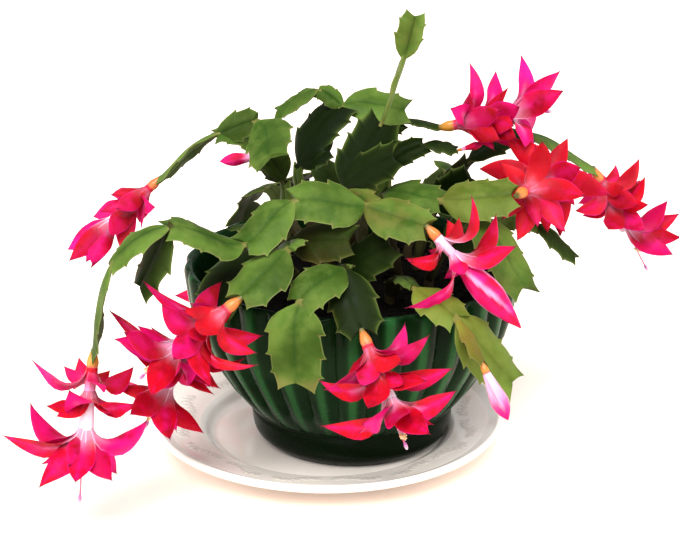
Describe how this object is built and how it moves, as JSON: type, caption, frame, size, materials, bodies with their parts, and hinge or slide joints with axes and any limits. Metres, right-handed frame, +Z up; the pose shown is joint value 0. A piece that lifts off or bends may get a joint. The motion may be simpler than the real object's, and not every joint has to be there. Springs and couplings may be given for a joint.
{
  "type": "potted christmas cactus",
  "caption": "Christmas cactus in bloom, with toothed flat stem segments and red tiered flowers, in a fluted green bowl standing on a round china saucer.",
  "frame": {"origin": "where the bowl's axis meets the surface that the saucer stands on", "axes": "+Z up, -Y towards the side that the plant is shown from, +X to that side's right"},
  "size_m": [0.3622, 0.3154, 0.2505],
  "materials": {
    "china": "gloss",
    "green_glaze": "gloss",
    "soil": "matte",
    "cactus_green": "satin",
    "ovary_orange": "satin",
    "petal_red": "satin",
    "stamen_cream": "satin"
  },
  "bodies": {
    "root": {"bowl": "green_glaze", "bud_front_right": "petal_red", "bud_left_high": "petal_red", "bud_right_high": "petal_red", "corolla_back_left": "petal_red", "corolla_back_right": "petal_red", "corolla_front": "petal_red", "corolla_half_open": "petal_red", "corolla_left_back": "petal_red", "corolla_left_front": "petal_red", "corolla_left_under": "petal_red", "corolla_lower_left": "petal_red", "corolla_right": "petal_red", "corolla_right_back": "petal_red", "corolla_top_right": "petal_red", "ovary_back_left": "ovary_orange", "ovary_back_right": "ovary_orange", "ovary_bud_front_right": "ovary_orange", "ovary_bud_left_high": "ovary_orange", "ovary_bud_right_high": "ovary_orange", "ovary_front": "ovary_orange", "ovary_half_open": "ovary_orange", "ovary_left_back": "ovary_orange", "ovary_left_front": "ovary_orange", "ovary_left_under": "ovary_orange", "ovary_lower_left": "ovary_orange", "ovary_right": "ovary_orange", "ovary_right_back": "ovary_orange", "ovary_top_right": "ovary_orange", "saucer": "china", "soil": "soil", "stamens_back_left": "stamen_cream", "stamens_back_right": "stamen_cream", "stamens_front": "stamen_cream", "stamens_left_back": "stamen_cream", "stamens_left_front": "stamen_cream", "stamens_left_under": "stamen_cream", "stamens_lower_left": "stamen_cream", "stamens_right": "stamen_cream", "stamens_right_back": "stamen_cream", "stamens_top_right": "stamen_cream", "stem_back": "cactus_green", "stem_back_left": "cactus_green", "stem_back_right": "cactus_green", "stem_front_centre": "cactus_green", "stem_front_left": "cactus_green", "stem_front_right": "cactus_green", "stem_left_high": "cactus_green", "stem_left_low": "cactus_green", "stem_right_back": "cactus_green", "stem_right_high": "cactus_green", "stem_right_low": "cactus_green", "stem_right_mid": "cactus_green", "stem_top": "cactus_green", "stem_top_left": "cactus_green", "stem_top_right": "cactus_green"}
  },
  "joints": []
}
